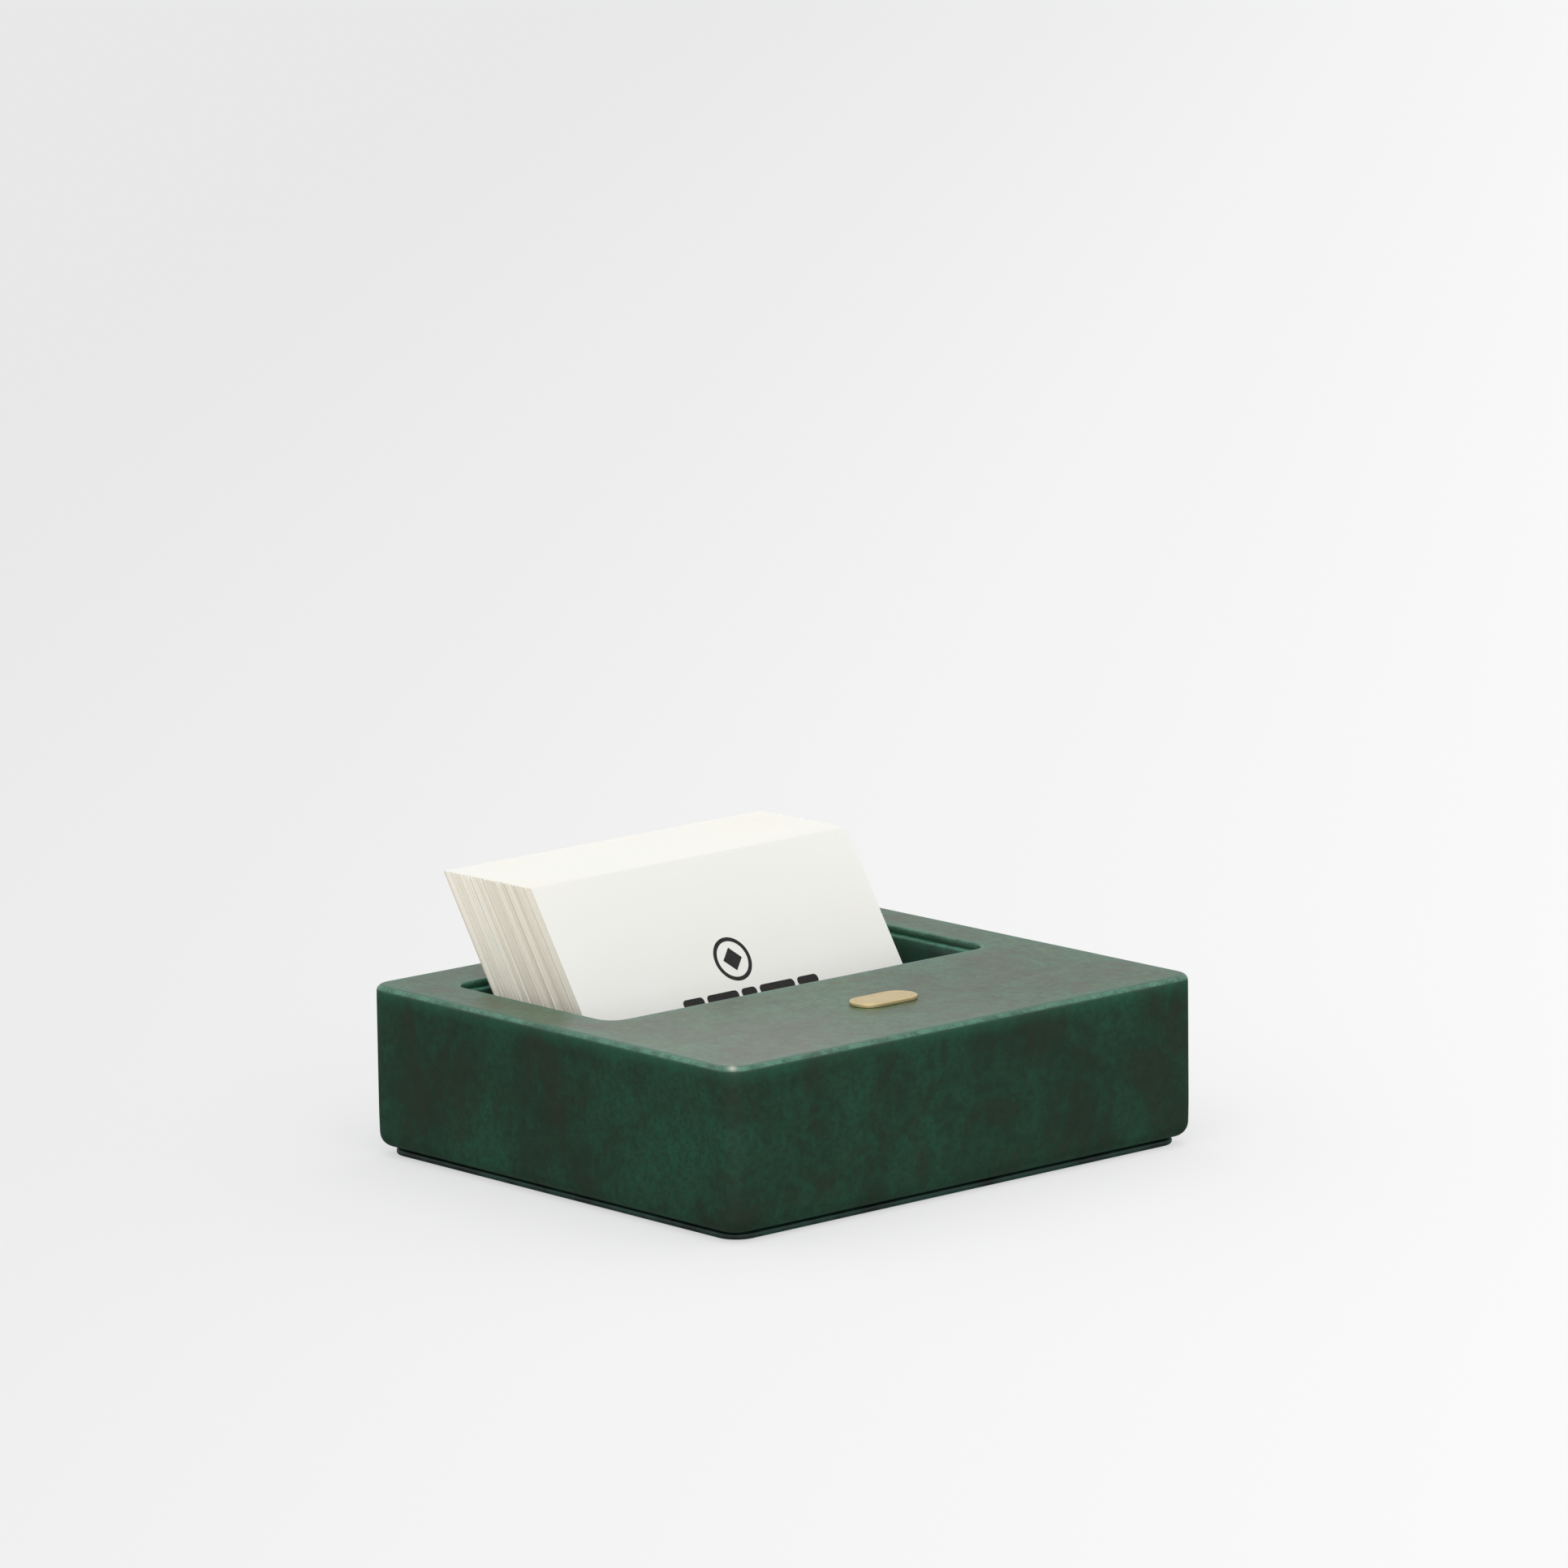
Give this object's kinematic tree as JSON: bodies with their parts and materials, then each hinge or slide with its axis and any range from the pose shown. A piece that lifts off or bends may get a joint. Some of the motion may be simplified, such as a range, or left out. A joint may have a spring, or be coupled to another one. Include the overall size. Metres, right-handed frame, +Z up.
{
  "type": "desk card holder",
  "caption": "Low leather-covered block with an open pocket that holds a leaning deck of business cards, on a recessed base plate, with a metal badge on its ledge.",
  "frame": {"origin": "centre of the block's plan, on the surface that the holder stands on", "axes": "+Z up; -Y towards the ledge and badge in front; +X to the right seen from the front"},
  "size_m": [0.128, 0.114, 0.0577],
  "materials": {
    "cover_leather": "deep green, clouded, semi-matt",
    "base_leather": "dark green, smooth",
    "lining_leather": "smooth dark green",
    "pad_suede": "suede nap",
    "core_board": "raw fibreboard",
    "grey_board": "raw grey board",
    "badge_brass": "matt gold, fine brushed",
    "card_stock": "uncoated white card"
  },
  "bodies": {
    "holder": {"leather_cover": "cover_leather", "core_floor_board": "core_board", "core_front_block": "core_board", "core_rear_rail": "core_board", "core_left_rail": "core_board", "core_right_rail": "core_board", "base_board": "grey_board", "base_leather_band": "base_leather", "base_pad": "pad_suede", "pocket_floor_board": "grey_board", "pocket_floor_lining": "lining_leather", "front_wall_board": "grey_board", "rear_wall_board": "grey_board", "left_wall_board": "grey_board", "right_wall_board": "grey_board", "front_wall_lining": "lining_leather", "rear_wall_lining": "lining_leather", "left_wall_lining": "lining_leather", "right_wall_lining": "lining_leather", "badge_plate": "badge_brass", "badge_pins": "badge_brass"},
    "front_card": {"front_card": "card_stock"},
    "card_deck": {"card_deck": "card_stock"},
    "rear_card": {"rear_card": "card_stock"}
  },
  "joints": [
    {"name": "front_card_lift", "type": "slide", "parent": "holder", "child": "front_card", "axis": [-0.0148, 0.5297, 0.848], "range_m": [0, 0.06]},
    {"name": "card_deck_lift", "type": "slide", "parent": "holder", "child": "card_deck", "axis": [-0.0148, 0.5297, 0.848], "range_m": [0, 0.06]},
    {"name": "rear_card_lift", "type": "slide", "parent": "holder", "child": "rear_card", "axis": [-0.0148, 0.5297, 0.848], "range_m": [0, 0.06]}
  ]
}
